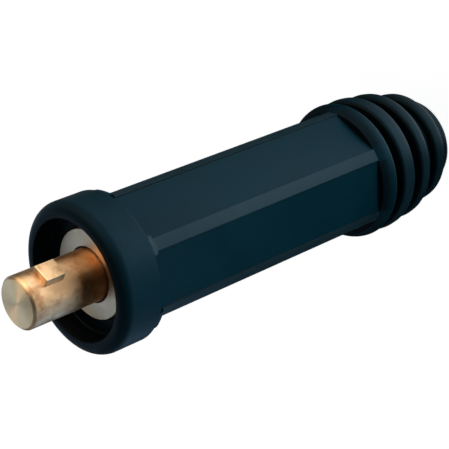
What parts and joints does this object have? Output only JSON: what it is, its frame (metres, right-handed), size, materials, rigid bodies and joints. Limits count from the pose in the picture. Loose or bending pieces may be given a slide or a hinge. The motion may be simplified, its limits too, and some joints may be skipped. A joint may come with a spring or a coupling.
{
  "type": "male cable connector",
  "caption": "Male bayonet plug for a heavy cable: brass contact pin with a locking lug in the cup of a ribbed rubber sleeve that ends in bend rings.",
  "frame": {"origin": "centre of the flat rear end, on the sleeve's axis, where the plug stands on its cable end", "axes": "+Z along the sleeve's axis from the cable end to the tip of the contact pin; the locking lug and the clamp screws point along +X"},
  "size_m": [0.0376, 0.0376, 0.138],
  "materials": {
    "moulded_rubber": "satin, dark blue-black",
    "turned_brass": "fine turned",
    "brass_sheet": "rolled sheet",
    "zinc_plated_steel": "bright zinc plating"
  },
  "bodies": {
    "sleeve": {"sleeve": "moulded_rubber"},
    "plug": {"plug_body": "turned_brass"},
    "shim": {"pressure_shim": "brass_sheet"},
    "front_screw": {"clamp_screw_front": "zinc_plated_steel"},
    "rear_screw": {"clamp_screw_rear": "zinc_plated_steel"}
  },
  "joints": [
    {"name": "plug_slide", "type": "slide", "parent": "sleeve", "child": "plug", "axis": [0, 0, 1], "range_m": [0, 0.05]},
    {"name": "shim_slide", "type": "slide", "parent": "plug", "child": "shim", "axis": [-1, 0, 0], "range_m": [0, 0.00187]},
    {"name": "front_screw_turn", "type": "hinge", "parent": "shim", "child": "front_screw", "pos_m": [0, 0, 0.0933], "axis": [-1, 0, 0], "range_deg": [0, 540]},
    {"name": "rear_screw_turn", "type": "hinge", "parent": "shim", "child": "rear_screw", "pos_m": [0, 0, 0.0783], "axis": [-1, 0, 0], "range_deg": [0, 540]}
  ],
  "couplings": [
    {"joint": "front_screw_turn", "follows": "shim_slide", "rad_per_m": 5026.5},
    {"joint": "rear_screw_turn", "follows": "shim_slide", "rad_per_m": 5026.5}
  ]
}
